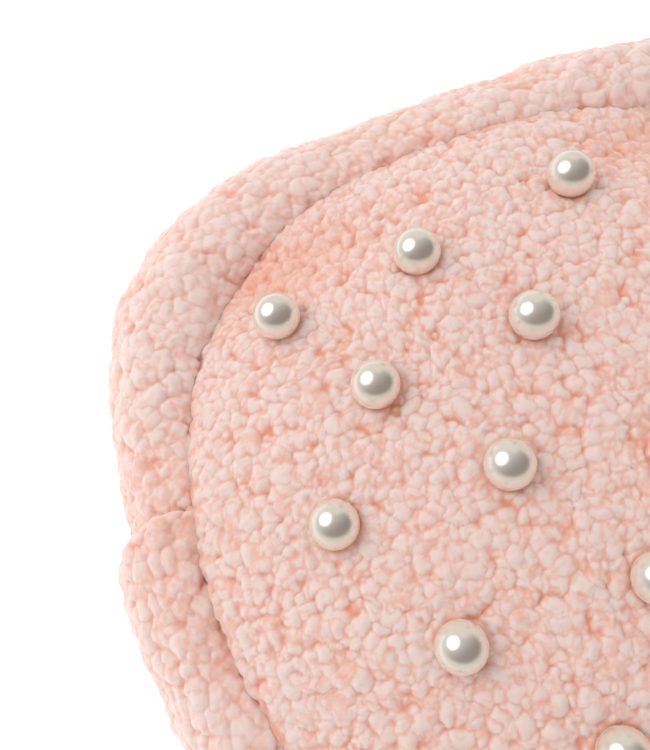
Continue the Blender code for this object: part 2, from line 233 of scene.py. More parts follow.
def pillow_cut(under, first, last):
    """One upright cut through the pillow, at a depth under its surface, in rows.

    Each row is (share, offset, height), and lies at share times the reach plus the offset.
    The dome is one minus the share squared to its power, the roll is part of an ellipse, and
    the back is flat and then rises to its seam by a smooth step. Rows run from the front's
    middle, 0, round the roll to the back's middle, 3, and only first to last are given.
    """
    seam = SEAM_HALF[0] / EDGE_HALF[0]
    edge = math.acos(1 - (1 - seam) / ROLL_SHARE)
    across = np.linspace(CUT_FIRST, CUT_LAST, CUT_COUNT)
    rise = front_high.z - FRONT_SEAM_Z
    front_z = FRONT_SEAM_Z + rise * (1 - across ** 2) ** DOME_POWER - under
    turn = edge * ROLL_CUT_PART * np.linspace(1, -1, ROLL_CUT_COUNT)
    roll_share = 1 - ROLL_SHARE + ROLL_SHARE * np.cos(turn)
    roll_z = ROLL_MIDDLE + (ROLL_HALF_HEIGHT - under) * np.sin(turn)
    back_z = BACK_SEAM_Z * smooth((across[::-1] - BACK_REST) / (1 - BACK_REST)) + under
    order = np.concatenate([across, 1 + 0.5 * (1 - turn / turn[0]),
                            np.linspace(2.02, 3, CUT_COUNT)])
    level = np.zeros(CUT_COUNT)
    rows = np.stack([np.concatenate([across * seam, roll_share, across[::-1] * seam]),
                     np.concatenate([level, -under * np.cos(turn), level]),
                     np.concatenate([front_z, roll_z, back_z])], axis=-1)
    return rows[(order >= first) & (order <= last)]


def swept_rings(rows, steps):
    """Rings of points round the pillow, one for each row of a cut."""
    x, y = pillow_outline(np.linspace(0, 2 * math.pi, steps, endpoint=False))
    x, y = x * EDGE_HALF[0], y * EDGE_HALF[1]
    reach = np.hypot(x, y)
    distance = rows[:, :1] * reach + rows[:, 1:2]
    height = np.broadcast_to(rows[:, 2:3], distance.shape)
    return np.stack([MIDDLE_X + x / reach * distance, y / reach * distance, height], axis=-1)


def closed_rings(name, rings, top, bottom, material):
    """A closed body from a stack of rings and two poles, the first ring next to the top."""
    rows, steps = rings.shape[:2]
    count = rows * steps
    poles = [[MIDDLE_X, 0, top], [MIDDLE_X, 0, bottom]]
    ring = np.arange(steps)
    faces = [grid_faces(rows, steps)[:, ::-1], pole_faces(ring, count, False),
             pole_faces(count - steps + ring, count + 1, True)]
    return make_piece(name, np.concatenate([rings.reshape(-1, 3), poles]), faces, material)


mottle = mottle_group()
fill_rings = swept_rings(pillow_cut(FILL_UNDER, 0, 3), FILL_STEPS)
fill_lumps = 0.5 + 0.35 * swell(fill_rings, FILL_LUMP_SIZE, 3)
fill_lumps += 0.15 * swell(fill_rings, FILL_LUMP_SIZE / 3, 4)
fill_way = fill_rings - [MIDDLE_X, 0, ROLL_MIDDLE]
fill_way /= np.linalg.norm(fill_way, axis=-1, keepdims=True)
fill_rings -= fill_way * (fill_lumps * FILL_LUMP)[..., None]
wad = closed_rings("fibre_wad", fill_rings, front_high.z - FILL_UNDER - FILL_LUMP,
                   FILL_UNDER + FILL_LUMP, wad_material())
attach(wad, "root")
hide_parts("fibre_fill")


# --- Inner case -------------------------------------------------------------------
# Two halves of plain white cotton, sewn together round the roll's middle. They keep the
# fibre in and are a little slack, so they crease.

CASE_STEPS = 200
CASE_OUTSIDE = 0.0094            # depth of the cotton's outer face under the pillow's surface
CASE_INSIDE = 0.0104
CASE_CREASE = 0.0003
CASE_CREASE_SIZE = 0.006
COTTON_WHITE = (0.83, 0.81, 0.77, 1.0)
COTTON_SHADE = (0.66, 0.64, 0.60, 1.0)


def cotton_material():
    """Plain-woven cotton: two fine wave bands crossed, darker between the yarns."""
    material, tree, shader = new_material("cotton_cloth")
    place = add_node(tree, "ShaderNodeTexCoord").outputs["Object"]
    warp = add_node(tree, "ShaderNodeTexWave", {"Vector": place, "Scale": 700.0,
                                                 "Distortion": 0.6}, bands_direction="X")
    weft = add_node(tree, "ShaderNodeTexWave", {"Vector": place, "Scale": 700.0,
                                                 "Distortion": 0.6}, bands_direction="Y")
    weave = add_node(tree, "ShaderNodeMath", {0: warp.outputs["Fac"], 1: weft.outputs["Fac"]},
                     operation="MULTIPLY").outputs[0]
    colour = mix_colour(tree, weave, COTTON_SHADE, COTTON_WHITE)
    tree.links.new(colour, shader.inputs["Base Color"])
    bump = add_node(tree, "ShaderNodeBump", {"Height": weave, "Strength": 0.4,
                                              "Distance": 0.00015})
    tree.links.new(bump.outputs["Normal"], shader.inputs["Normal"])
    shader.inputs["Roughness"].default_value = 0.85
    return material


def case_half(name, first, last, top, material):
    """One half of the case: its outer rows, then its inner rows back, closed at two poles."""
    outer = swept_rings(pillow_cut(CASE_OUTSIDE, first, last), CASE_STEPS)
    inner = swept_rings(pillow_cut(CASE_INSIDE, first, last), CASE_STEPS)
    crease = CASE_CREASE * swell(outer, CASE_CREASE_SIZE, 60)[..., None] * [0, 0, 1]
    outer, inner = outer + crease, inner + crease
    if top:
        rings = np.concatenate([outer, inner[::-1]])
        ends = front_high.z - CASE_OUTSIDE, front_high.z - CASE_INSIDE
    else:
        rings = np.concatenate([inner[::-1], outer])
        ends = CASE_INSIDE, CASE_OUTSIDE
    return closed_rings(name, rings, *ends, material)


cotton = cotton_material()
case_top = case_half("cotton_case_front", 0, 1.49, True, cotton)
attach(case_top, "root")
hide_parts("case_front")
case_foot = case_half("cotton_case_back", 1.51, 3, False, cotton)
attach(case_foot, "root")
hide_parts("case_back")


# --- Front of the pillow ----------------------------------------------------------
# One square of pale pink curly fleece with rounded corners, sewn to the border strip all
# round and pulled down at each pearl, so that it puffs up between them.

FRONT_COUNT = 401                # points along each side of the cloth
CURL_SIZE = 0.0029               # one clump of curly pile
CURL_RISE = 0.00160              # for a clump as high as its cube
CREASE_WIDTH = 0.30              # shares of a cube
DOME_SHARPNESS = 14.0            # how sharply one clump ends at the next
SMALL_CURL_SIZE = 0.0015
SMALL_CURL_RISE = 0.00040
DRIFT = 0.0009                   # how far the clumps stray
DRIFT_SIZE = 0.0045
SMALL_DRIFT = 0.0006
SMALL_DRIFT_SIZE = 0.0016
FRONT_WAVE = 0.0007              # the cloth's own unevenness
FRONT_WAVE_SIZE = 0.021
PEARL_DIP = 0.0010               # how far a pearl pulls the front down
PEARL_DIP_WIDTH = 0.0080
HOLLOW_DEPTH = 0.0045            # slack at the corners, just inside the seam
HOLLOW_PLACE = (0.047, 0.062)    # from the pillow's middle
HOLLOW_HALF = (0.024, 0.010)
HOLLOW_PAINTED_SHADE = 0.50              # painted shade in the corner hollow, as a share taken off the pile's shading
PEARL_CONTACT_SHADOW_WIDTH = 0.0016       # painted contact shadow on the pile close to a pearl
SEAM_SHADE_WIDTH = 0.026
SEAM_OUT_SIDE = 0.080            # the seam wanders out at the sides and ends
SEAM_OUT_END = 0.032
SEAM_IN_CORNER = 0.022           # and in at the corners
SEAM_TUCK = 0.022                # share of the cloth that is caught under the border's pile
PUFF_COUNT = 61                  # points along each side of the cloth that is blown up
PUFF_PRESSURE = 4.0
PUFF_FRAMES = 20
PUFF_MOST = 0.0030               # cap on how far a point may move
WALL_DEPTH = 0.004               # the cloth's closed body, under its edge and its middle
BODY_DEPTH = 0.008
PILE_TIP = (0.825, 0.680, 0.636, 1.0)
# painted shade: a darker, saturated colour for the shade deep in the pile's holes and creases
PILE_PAINTED_SHADE = (0.86, 0.36, 0.235, 1.0)
PILE_BLUSH = (0.840, 0.655, 0.598, 1.0)

PEARLS = [f"pearl_{number:02d}" for number in range(1, 19)]
pearl_middles = np.array([(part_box(name)[0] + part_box(name)[1]) / 2 for name in PEARLS])
pearl_radius = max(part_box(PEARLS[8])[1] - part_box(PEARLS[8])[0]) / 2 + 0.0001


def tufts(points, size, salt):
    """The curly pile's clumps, as (height over the cloth, distance from a crease), both shares.

    Each cube of the given size holds one clump middle, placed by chance, with a dome over it:
    its radius times the power 0.8 of one minus the distance squared over the radius squared.
    The height is the logarithm of the sum of all domes' exponentials, so they run together
    softly. A crease is where the two highest domes are level.
    """
    at = points / size
    home = np.floor(at).astype(np.int64)
    top = np.zeros(at.shape[:-1])
    second = top.copy()
    total = top.copy()
    for step in np.ndindex(3, 3, 3):
        cell = home + np.array(step) - 1
        seed = np.stack([chance(cell, salt + axis) for axis in range(3)], axis=-1)
        gap = ((cell + 0.1 + 0.8 * seed - at) ** 2).sum(axis=-1)
        radius = 0.76 + 0.24 * chance(cell, salt + 9)
        dome = radius * np.maximum(0, 1 - gap / radius ** 2) ** 0.8
        total += np.exp(DOME_SHARPNESS * dome) - 1
        second = np.maximum(second, np.minimum(top, dome))
        top = np.maximum(top, dome)
    return np.log1p(total) / DOME_SHARPNESS, np.minimum(1, (top - second) / CREASE_WIDTH)


def curly_pile(points, normals, salt, size=CURL_SIZE, rise=CURL_RISE):
    """Raise fleece pile on a surface: points moved along their normals, and the pile's depth.

    The clumps are drifted out of their rows, and smaller curls ride on them. The depth runs
    from 0 in a hole to 1 on a top, and is less in the creases; the fleece's colour turns it
    into painted shade in the holes and creases.
    """
    drift = np.stack([swell(points, DRIFT_SIZE, salt + 20 + axis)
                      + 0.9 * swell(points, SMALL_DRIFT_SIZE, salt + 30 + axis)
                      for axis in range(3)], axis=-1)
    high, clear = tufts(points + drift * DRIFT, size, salt)
    small_high, small_clear = tufts(points + drift * SMALL_DRIFT, SMALL_CURL_SIZE, salt + 50)
    height = high * rise + small_high * SMALL_CURL_RISE
    depth = 0.12 + 0.88 * np.clip(high / 0.62, 0, 1)
    depth = depth * (0.34 + 0.46 * clear + 0.20 * small_clear)
    depth = depth * (0.66 + 0.34 * np.clip((small_high - 0.2) / 0.4, 0, 1))
    return points + normals * (height - rise * 0.6)[..., None], depth


def grid_normals(points):
    """The direction square to a grid of points: the cross product of its two slopes."""
    along = np.gradient(points, axis=1)
    across = np.gradient(points, axis=0)
    normal = np.cross(along, across)
    return normal / np.maximum(np.linalg.norm(normal, axis=-1, keepdims=True), 1e-12)


def seam_stretch(x, y):
    """How much further out the seam runs than an even border would put it, by direction.

    It is the cosine squared and sine squared of the direction times the side and end shares,
    less the corner share times the sine squared of twice the direction.
    """
    far = np.maximum(x * x + y * y, 1e-12)
    corner = 4 * x * x * y * y / far ** 2
    side = (x * x * SEAM_OUT_SIDE + y * y * SEAM_OUT_END) / far
    return 1 + side * (1 - corner) - corner * SEAM_IN_CORNER


def seam_height(stretch):
    """The roll's height where the seam cuts it: its ellipse at the seam's distance."""
    seam = SEAM_HALF[0] / EDGE_HALF[0] * stretch
    return ROLL_HALF_HEIGHT * np.sqrt(1 - ((seam - 1 + ROLL_SHARE) / ROLL_SHARE) ** 2)


def even_square(count):
    """A square grid drawn in to the seam, as (x, y, share of the way out, seam's stretch)."""
    line = np.linspace(-1, 1, count)
    across, up = np.meshgrid(line, line)
    share = np.maximum(np.abs(across), np.abs(up))
    power = (np.abs(across) ** SQUARENESS + np.abs(up) ** SQUARENESS) ** (1 / SQUARENESS)
    pull = np.where(power > 0, share / np.maximum(power, 1e-9), 1.0)
    stretch = seam_stretch(across, up)
    pull = pull * (1 + (stretch - 1 + SEAM_TUCK) * share ** 3)
    return across * pull, up * pull, share, stretch


def front_surface(count):
    """The front without its pile, as (points, share of the way out, slack).

    Height over the seam is one minus the share squared, to the dome's power. Each pearl takes
    away a bell-shaped dip, and each corner a wider one, the slack.
    """
    across, up, share, stretch = even_square(count)
    x = MIDDLE_X + across * SEAM_HALF[0]
    y = up * SEAM_HALF[1]
    dome = (1 - np.minimum(share, 1) ** 2) ** DOME_POWER
    edge_z = ROLL_MIDDLE + seam_height(stretch)
    z = edge_z + (front_high.z - edge_z) * dome
    for middle in pearl_middles:
        away = ((x - middle[0]) ** 2 + (y - middle[1]) ** 2) / PEARL_DIP_WIDTH ** 2
        z -= PEARL_DIP * np.exp(-away)
    slack = np.zeros_like(z)
    for side_x in (-1, 1):
        for side_y in (-1, 1):
            corner_x = (x - MIDDLE_X - side_x * HOLLOW_PLACE[0]) / HOLLOW_HALF[0]
            corner_y = (y - side_y * HOLLOW_PLACE[1]) / HOLLOW_HALF[1]
            slack = np.maximum(slack, np.exp(-corner_x ** 2 - corner_y ** 2))
    z -= HOLLOW_DEPTH * slack
    points = np.stack([x, y, z], axis=-1)
    points[..., 2] += FRONT_WAVE * swell(points, FRONT_WAVE_SIZE, 11) * (1 - share ** 6)
    return points, share, slack


def blown_up(points, held):
    """Where a square of cloth goes when air presses from inside, with some points held.

    Blender's cloth runs with pressure and no gravity. Each point's move is kept to the cap.
    """
    count = len(points)
    cloth = make_piece("cloth_trial", points, [grid_faces(count, count, closed=False)], fleece)
    group = cloth.vertex_groups.new(name="held")
    group.add(np.flatnonzero(held).tolist(), 1.0, "REPLACE")
    modifier = cloth.modifiers.new("cloth", "CLOTH")
    settings = modifier.settings
    settings.vertex_group_mass = "held"
    settings.use_pressure = True
    settings.uniform_pressure_force = PUFF_PRESSURE
    settings.effector_weights.gravity = 0.0
    settings.tension_stiffness = 15.0
    settings.compression_stiffness = 15.0
    settings.bending_stiffness = 0.8
    modifier.point_cache.frame_end = PUFF_FRAMES
    for step in range(1, PUFF_FRAMES + 1):
        bpy.context.scene.frame_set(step)
    shown = cloth.evaluated_get(bpy.context.evaluated_depsgraph_get()).data
    blown = np.empty(count * count * 3, np.float32)
    shown.vertices.foreach_get("co", blown)
    bpy.context.scene.frame_set(1)
    bpy.data.objects.remove(cloth)
    move = blown.reshape(count, count, 3) - points
    far = np.linalg.norm(move, axis=-1, keepdims=True)
    return move * np.minimum(1, PUFF_MOST / np.maximum(far, 1e-9))


def finer(grid, count):
    """A grid of values at more points: each row, then each column, by a cubic through four."""
    for axis in (0, 1):
        grid = np.moveaxis(grid, axis, 0)
        padded = np.concatenate([2 * grid[:1] - grid[1:2], grid, 2 * grid[-1:] - grid[-2:-1]])
        place = np.linspace(0, len(grid) - 1, count)
        home = np.minimum(place.astype(int), len(grid) - 2)
        part = (place - home).reshape(-1, *[1] * (grid.ndim - 1))
        before, start, end, after = (padded[home + step] for step in range(4))
        bend = 2 * before - 5 * start + 4 * end - after
        twist = 3 * (start - end) + after - before
        grid = start + 0.5 * part * (end - before + part * (bend + part * twist))
        grid = np.moveaxis(grid, 0, axis)
    return grid


def square_border(count):
    """The indices round a square grid's border, in order."""
    index = np.arange(count * count).reshape(count, count)
    return np.concatenate([index[0, :-1], index[:-1, -1], index[-1, :0:-1], index[:0:-1, 0]])


def closed_cloth(name, points, inside, pole, turned, material):
    """A grid of cloth closed below by a plain inner face: its border drawn in to one point.

    The border ring is joined to a second ring moved by inside, and that to the pole.
    """
    count = len(points)
    border = square_border(count)
    outer = points.reshape(-1, 3)
    ring = outer[border] + inside
    start = count * count
    lower = start + np.arange(len(border))
    faces = grid_faces(count, count, closed=False)
    wall = np.stack([border, lower, np.roll(lower, -1), np.roll(border, -1)], axis=-1)
    if turned:
        faces = faces[:, ::-1]
        wall = wall[:, ::-1]
    whole = np.concatenate([outer, ring, [pole]])
    base = pole_faces(lower, start + len(border), not turned)
    return make_piece(name, whole, [faces, wall, base], material)


def seam_shade(points, away, width):
    """Painted shade in a seam's groove, as a share kept of the pile's shading: low in the seam
    itself, but only here and there.
    """
    open_here = smooth(0.35 + 1.2 * swell(points, 0.010, 77))
    return 1 - (0.35 + 0.65 * open_here) * (1 - smooth(away / width))


def keep_pile_shading(piece, depth):
    """Store the pile's painted shading on a piece, full shade for its hidden inner points."""
    values = np.zeros(len(piece.data.vertices), np.float32)
    values[:depth.size] = depth.ravel()
    piece.data.attributes.new("pile", "FLOAT", "POINT").data.foreach_set("value", values)


def fleece_material():
    """Curly polyester fleece: a warm, saturated painted shade in the holes and creases, and
    pale on the tops.

    The colour follows the pile's painted shading and drifts a little over the cloth. Fine
    curled fibres are bump, and sheen makes the fuzz that shows at the edges.
    """
    material, tree, shader = new_material("pink_fleece")
    # The pile attribute is painted shade: 0 gives the painted shade of holes and creases, 1 the
    # tips.
    pile = add_node(tree, "ShaderNodeAttribute", attribute_name="pile").outputs["Fac"]
    ease = add_node(tree, "ShaderNodeMapRange", {"Value": pile, "From Min": 0.0,
                                                  "From Max": 0.84}).outputs["Result"]
    tips = add_node(tree, "ShaderNodeGroup", {
        "Scale": 55.0, "Detail": 2.0, "First": PILE_TIP, "Second": PILE_BLUSH}, node_tree=mottle)
    colour = mix_colour(tree, ease, PILE_PAINTED_SHADE, tips.outputs["Colour"])
    tree.links.new(colour, shader.inputs["Base Color"])
    fibre = add_node(tree, "ShaderNodeGroup", {
        "Scale": 1500.0, "Detail": 4.0, "Roughness": 0.65, "Distortion": 1.6}, node_tree=mottle)
    bump = add_node(tree, "ShaderNodeBump", {"Height": fibre.outputs["Mask"], "Strength": 0.45,
                                              "Distance": 0.00030})
    tree.links.new(bump.outputs["Normal"], shader.inputs["Normal"])
    shader.inputs["Roughness"].default_value = 0.95
    shader.inputs["Specular IOR Level"].default_value = 0.15
    shader.inputs["Subsurface Weight"].default_value = 0.6
    shader.inputs["Subsurface Radius"].default_value = (1.0, 0.45, 0.30)
    shader.inputs["Subsurface Scale"].default_value = 0.0022
    shader.inputs["Sheen Weight"].default_value = 0.7
    shader.inputs["Sheen Roughness"].default_value = 0.5
    shader.inputs["Sheen Tint"].default_value = (1.0, 0.93, 0.90, 1.0)
    return material


fleece = fleece_material()
trial, trial_share = front_surface(PUFF_COUNT)[:2]
trial_gap = np.linalg.norm(trial[None] - pearl_middles[:, None, None], axis=-1).min(axis=0)
puffed = blown_up(trial, (trial_share > 0.999) | (trial_gap < pearl_radius))
front_points, front_share, front_slack = front_surface(FRONT_COUNT)
front_points = front_points + finer(puffed, FRONT_COUNT)
front_pile, front_pile_shading = curly_pile(front_points, grid_normals(front_points), 100)
pearl_gap = np.linalg.norm(front_pile[None] - pearl_middles[:, None, None], axis=-1).min(axis=0)
# Painted contact shadow round each pearl.
front_pile_shading *= smooth((pearl_gap - pearl_radius + 0.0002) / PEARL_CONTACT_SHADOW_WIDTH)
# Painted shade in the corner hollows, where the roll shadows them.
front_pile_shading *= 1 - HOLLOW_PAINTED_SHADE * front_slack
# Painted shade in the seam's groove, here and there.
front_pile_shading *= seam_shade(front_pile, 1 - front_share, SEAM_SHADE_WIDTH)
front = closed_cloth("fleece_front", front_pile, np.array([0, 0, -WALL_DEPTH]),
                     [MIDDLE_X, 0, front_high.z - BODY_DEPTH], False, fleece)
keep_pile_shading(front, front_pile_shading)
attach(front, "root")
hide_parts("front_panel")


# --- Back of the pillow -----------------------------------------------------------
# The same fleece without pearls. It is flat where the pillow lies on it and rises to its
# seam with the border strip all round.

BACK_COUNT = 301                 # points along each side of the cloth
BACK_LEVEL = 0.0007              # the cloth over the table, on its pile
BACK_BODY = 0.006                # its closed body's top over the table


def back_surface(count):
    """The back without its pile: level, then rising to the seam by a smooth step."""
    across, up, share, stretch = even_square(count)
    x = MIDDLE_X + across * SEAM_HALF[0]
    y = up * SEAM_HALF[1]
    edge_z = ROLL_MIDDLE - seam_height(stretch)
    z = BACK_LEVEL + edge_z * smooth((share - BACK_REST) / (1 - BACK_REST))
    return np.stack([x, y, z], axis=-1)


back_points = back_surface(BACK_COUNT)
back_pile, back_pile_shading = curly_pile(back_points, -grid_normals(back_points), 200)
back_pile[..., 2] = np.maximum(back_pile[..., 2], 0.0)
back = closed_cloth("fleece_back", back_pile, np.array([0, 0, WALL_DEPTH]),
                    [MIDDLE_X, 0, BACK_BODY], True, fleece)
keep_pile_shading(back, back_pile_shading)
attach(back, "root")
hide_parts("back_panel")


# --- Border strip -----------------------------------------------------------------
# One strip of the fleece round the edge, rolled full between the two seams. Its outer end
# laps over its inner end on the left side and is sewn down there.

ALONG_COUNT = 1620               # points along the strip
OVER_COUNT = 190                 # points over the roll, front seam to back seam
INNER_COUNT = 8                  # points over its inner face
BORDER_CURL_SIZE = 0.0036        # the pile stands looser over the roll
BORDER_CURL_RISE = 0.0018
BORDER_WAVE = 0.0011             # the roll's own unevenness, wide and narrow
BORDER_WAVE_SIZE = 0.016
BORDER_RIPPLE = 0.0008
BORDER_RIPPLE_SIZE = 0.008
LAP_Y = 0.0235                   # where the lapped end lies
LAP_LENGTH = 0.014               # how far the two ends overlap
LAP_FADE = 0.045                 # the lap's lift dies out over this length
LAP_LIP = 0.0040                 # how far the lapped end rounds over
LAP_SKEW = 0.0105                # its end is cut askew
LAP_SHOWN = 0.0030               # the lap's lift, its pile pressed flat
LAP_TUCK = 0.0015                # the cut end turned in
LAP_BULGE = 0.0030               # the strip stands out round the lap
BULGE_BEFORE = 0.03              # over these lengths before and after it
BULGE_AFTER = 0.04
CORNER_BULGE = 0.0008            # and at the corners
STRIP_THICKNESS = 0.005
SEAM_DROP = 0.0022               # how far the roll dips into each seam's groove
SEAM_SHARPNESS = 14.0            # and how soon
BORDER_SHADE_WIDTH = 0.05


def outline_walk(count):
    """Plan points at even steps along the outline from the lapped end, and their distances.

    The outline is walked in fine steps, and its length added up. The strip starts on the
    left at LAP_Y, goes once round by the lower side, and runs on under its own start.
    """
    turns = np.linspace(0, 2 * math.pi, 8001)
    x, y = pillow_outline(turns)
    x, y = x * EDGE_HALF[0], y * EDGE_HALF[1]
    along = np.concatenate([[0.0], np.cumsum(np.hypot(np.diff(x), np.diff(y)))])
    left = (x < 0) & (np.abs(y - LAP_Y) < EDGE_HALF[1] / 4)
    start = np.interp(-LAP_Y, -y[left], along[left])
    steps = np.linspace(0, along[-1] + LAP_LENGTH, count)
    place = (start + steps) % along[-1]
    return np.interp(place, along, x), np.interp(place, along, y), steps


def roll_surface(x, y, steps, thickness, count):
    """Points over the roll: an ellipse from the front seam round the edge to the back seam.

    Each cut stands upright on a line from the pillow's middle. The lapped end runs askew, so
    its start depends on the angle over the roll. There it rounds up like a quarter ellipse,
    and its lift fades along the strip. The strip stands out round the lap and at the corners.
    The seams pull both edges straight down or up.
    """
    reach = np.hypot(x, y)[:, None]
    stretch = seam_stretch(x / EDGE_HALF[0], y / EDGE_HALF[1])[:, None]
    seam = SEAM_HALF[0] / EDGE_HALF[0] * stretch
    start = np.arccos((seam - 1 + ROLL_SHARE) / ROLL_SHARE)
    turn = start * np.linspace(1, -1, count)[None, :]
    inward = (start - np.abs(turn)) / start
    past = steps[:, None] - LAP_SKEW * (1 - smooth(turn / start))
    lip = np.sqrt(1 - (1 - np.clip(past / LAP_LIP, 0, 1)) ** 2)
    fade = 1 - smooth((past - LAP_LENGTH) / LAP_FADE)
    whole = 1 - smooth((past - LAP_LENGTH / 2) / (LAP_FADE / 3))
    lift = LAP_SHOWN * fade * lip * (0.4 * whole + (1 - 0.4 * whole) * smooth(inward * 3))
    before = steps[-1] - LAP_LENGTH - steps[:, None]
    bulge = LAP_BULGE * np.maximum((0.5 + 0.5 * lip) * (1 - smooth((past - 0.01) / BULGE_AFTER)),
                                   0.5 * (1 - smooth(before / BULGE_BEFORE)))
    corner = 4 * (x * y / (x * x + y * y)) ** 2
    bulge = bulge + CORNER_BULGE * corner[:, None] ** 4
    lift = lift - LAP_TUCK * (1 - lip) + bulge * smooth(inward * 1.5)
    far = reach * (1 - ROLL_SHARE) + (reach * ROLL_SHARE + lift - thickness) * np.cos(turn)
    z = (ROLL_HALF_HEIGHT + lift - thickness) * np.sin(turn)
    pull = SEAM_DROP * np.exp(-(inward * SEAM_SHARPNESS) ** 1.5)
    z = ROLL_MIDDLE + z - np.sign(turn) * pull * (1 - 0.5 * whole * lip)
    return np.stack([MIDDLE_X + x[:, None] / reach * far, y[:, None] / reach * far, z], axis=-1)


strip_x, strip_y, strip_steps = outline_walk(ALONG_COUNT)
roll = roll_surface(strip_x, strip_y, strip_steps, 0.0, OVER_COUNT)
roll_normal = grid_normals(roll)
puff = BORDER_WAVE * swell(roll, BORDER_WAVE_SIZE, 41)
puff += BORDER_RIPPLE * swell(roll, BORDER_RIPPLE_SIZE, 42)
roll_pile, roll_pile_shading = curly_pile(roll + roll_normal * puff[..., None], roll_normal, 300,
                                   BORDER_CURL_SIZE, BORDER_CURL_RISE)
# Painted shade on the roll: less of it in the creases than on the front, and more in the dents of
# its unevenness.
roll_pile_shading = (0.2 + 0.8 * roll_pile_shading) * (0.80 + 0.20 * smooth(0.5 + puff / 0.0016))
# Painted shade in both seams' grooves.
seam_away = 1 - np.abs(np.linspace(1, -1, OVER_COUNT))[None, :]
roll_pile_shading = roll_pile_shading * seam_shade(roll, seam_away, BORDER_SHADE_WIDTH)
lap_start = LAP_SKEW * (1 - smooth(np.linspace(1, -1, OVER_COUNT)))
lap_past = strip_steps[:, None] - lap_start[None, :]
roll_pile_shading = roll_pile_shading * np.where(lap_past < LAP_LIP / 5, 0.5, 1.0)
inner = roll_surface(strip_x, strip_y, strip_steps, STRIP_THICKNESS, INNER_COUNT)[:, ::-1]
strip_points = np.concatenate([roll_pile, inner], axis=1)
strip_width = OVER_COUNT + INNER_COUNT
start_cap = np.arange(strip_width)[None, :]
end_cap = (ALONG_COUNT - 1) * strip_width + start_cap[:, ::-1]
band = make_piece("fleece_border", strip_points,
                  [grid_faces(ALONG_COUNT, strip_width), start_cap[:, ::-1],
                   end_cap[:, ::-1]], fleece)
band_pile_shading = np.concatenate([roll_pile_shading, np.zeros((ALONG_COUNT, INNER_COUNT))], axis=1)
keep_pile_shading(band, band_pile_shading)
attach(band, "root")
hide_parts("border_band")


# --- Sewing thread ----------------------------------------------------------------
# Two-ply pink polyester thread. It runs round the pillow in both seams, deep in the pile,
# and over the roll where the lapped end is sewn down by hand.

THREAD_RADIUS = 0.00036
THREAD_PLY = 0.22                # how far the two plies stand out
THREAD_TWIST = 0.0022            # length of one full twist
THREAD_SIDES = 10
THREAD_DEPTH = 0.0034            # under the level of the cloth at the seam
LAP_THREAD_DEPTH = 0.0022        # under the cloth where the lap is sewn down
LAP_THREAD_MARGIN = 8            # points left free at each seam
SEAM_COUNT = 1400                # points along a seam
THREAD_PINK = (0.78, 0.45, 0.38, 1.0)
THREAD_DARK = (0.60, 0.30, 0.24, 1.0)


def thread_material():
    """Spun polyester: fine streaks between a darker and a lighter pink, a little gloss."""
    material, tree, shader = new_material("pink_thread")
    streak = add_node(tree, "ShaderNodeGroup", {
        "Scale": 2600.0, "Detail": 3.0, "First": THREAD_DARK, "Second": THREAD_PINK},
        node_tree=mottle)
    tree.links.new(streak.outputs["Colour"], shader.inputs["Base Color"])
    shader.inputs["Roughness"].default_value = 0.55
    shader.inputs["Sheen Weight"].default_value = 0.3
    return material


def twisted_thread(name, path, closed, material):
    """A tube along a path whose radius swells twice round it, the swelling turning as it goes.

    At each point two directions square to the path carry a ring: radius times one plus the
    ply's share of the cosine of twice the angle less the twist.
    """
    ahead = np.roll(path, -1, axis=0) - np.roll(path, 1, axis=0)
    if not closed:
        ahead[0], ahead[-1] = path[1] - path[0], path[-1] - path[-2]
    ahead /= np.linalg.norm(ahead, axis=-1, keepdims=True)
    side = np.cross(ahead, (0.31, 0.17, 0.93))
    side /= np.linalg.norm(side, axis=-1, keepdims=True)
    other = np.cross(ahead, side)
    along = np.concatenate([[0.0], np.cumsum(np.linalg.norm(np.diff(path, axis=0), axis=-1))])
    twists = 2 * math.pi * along / THREAD_TWIST
    angle = np.linspace(0, 2 * math.pi, THREAD_SIDES, endpoint=False)[None, :]
    radius = THREAD_RADIUS * (1 + THREAD_PLY * np.cos(2 * angle - twists[:, None]))
    tube = path[:, None] + radius[..., None] * (np.cos(angle)[..., None] * side[:, None]
                                                + np.sin(angle)[..., None] * other[:, None])
    count = len(path)
    if closed:
        tube = np.concatenate([tube, tube[:1]])
        faces = grid_faces(count + 1, THREAD_SIDES)[:, ::-1] % (count * THREAD_SIDES)
        return make_piece(name, tube[:-1], [faces], material)
    ends = np.arange(THREAD_SIDES)[None, :]
    last = (count - 1) * THREAD_SIDES + ends
    return make_piece(name, tube, [grid_faces(count, THREAD_SIDES)[:, ::-1], ends, last[:, ::-1]],
                      material)


def seam_path(side):
    """The seam's closed line round the pillow, in even steps of its angle.

    Side is 1 for the front seam and -1 for the back one.
    """
    x, y = pillow_outline(np.linspace(0, 2 * math.pi, SEAM_COUNT, endpoint=False))
    stretch = seam_stretch(x, y)
    level = ROLL_MIDDLE + side * (seam_height(stretch) - THREAD_DEPTH)
    return np.stack([MIDDLE_X + x * stretch * SEAM_HALF[0], y * stretch * SEAM_HALF[1], level],
                    axis=-1)


spun = thread_material()
lap_columns = np.arange(LAP_THREAD_MARGIN, OVER_COUNT - LAP_THREAD_MARGIN)
lap_rows = np.searchsorted(strip_steps, lap_start)[lap_columns] + 3
lap_path = roll[lap_rows, lap_columns]
lap_path = lap_path - roll_normal[lap_rows, lap_columns] * LAP_THREAD_DEPTH
for thread, path, round_it in (
        ("front_seam_thread", seam_path(1), True),
        ("back_seam_thread", seam_path(-1), True),
        ("lap_seam_thread", lap_path, False)):
    strand = twisted_thread(thread + "_spun", path, round_it, spun)
    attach(strand, "root")
    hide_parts(thread)


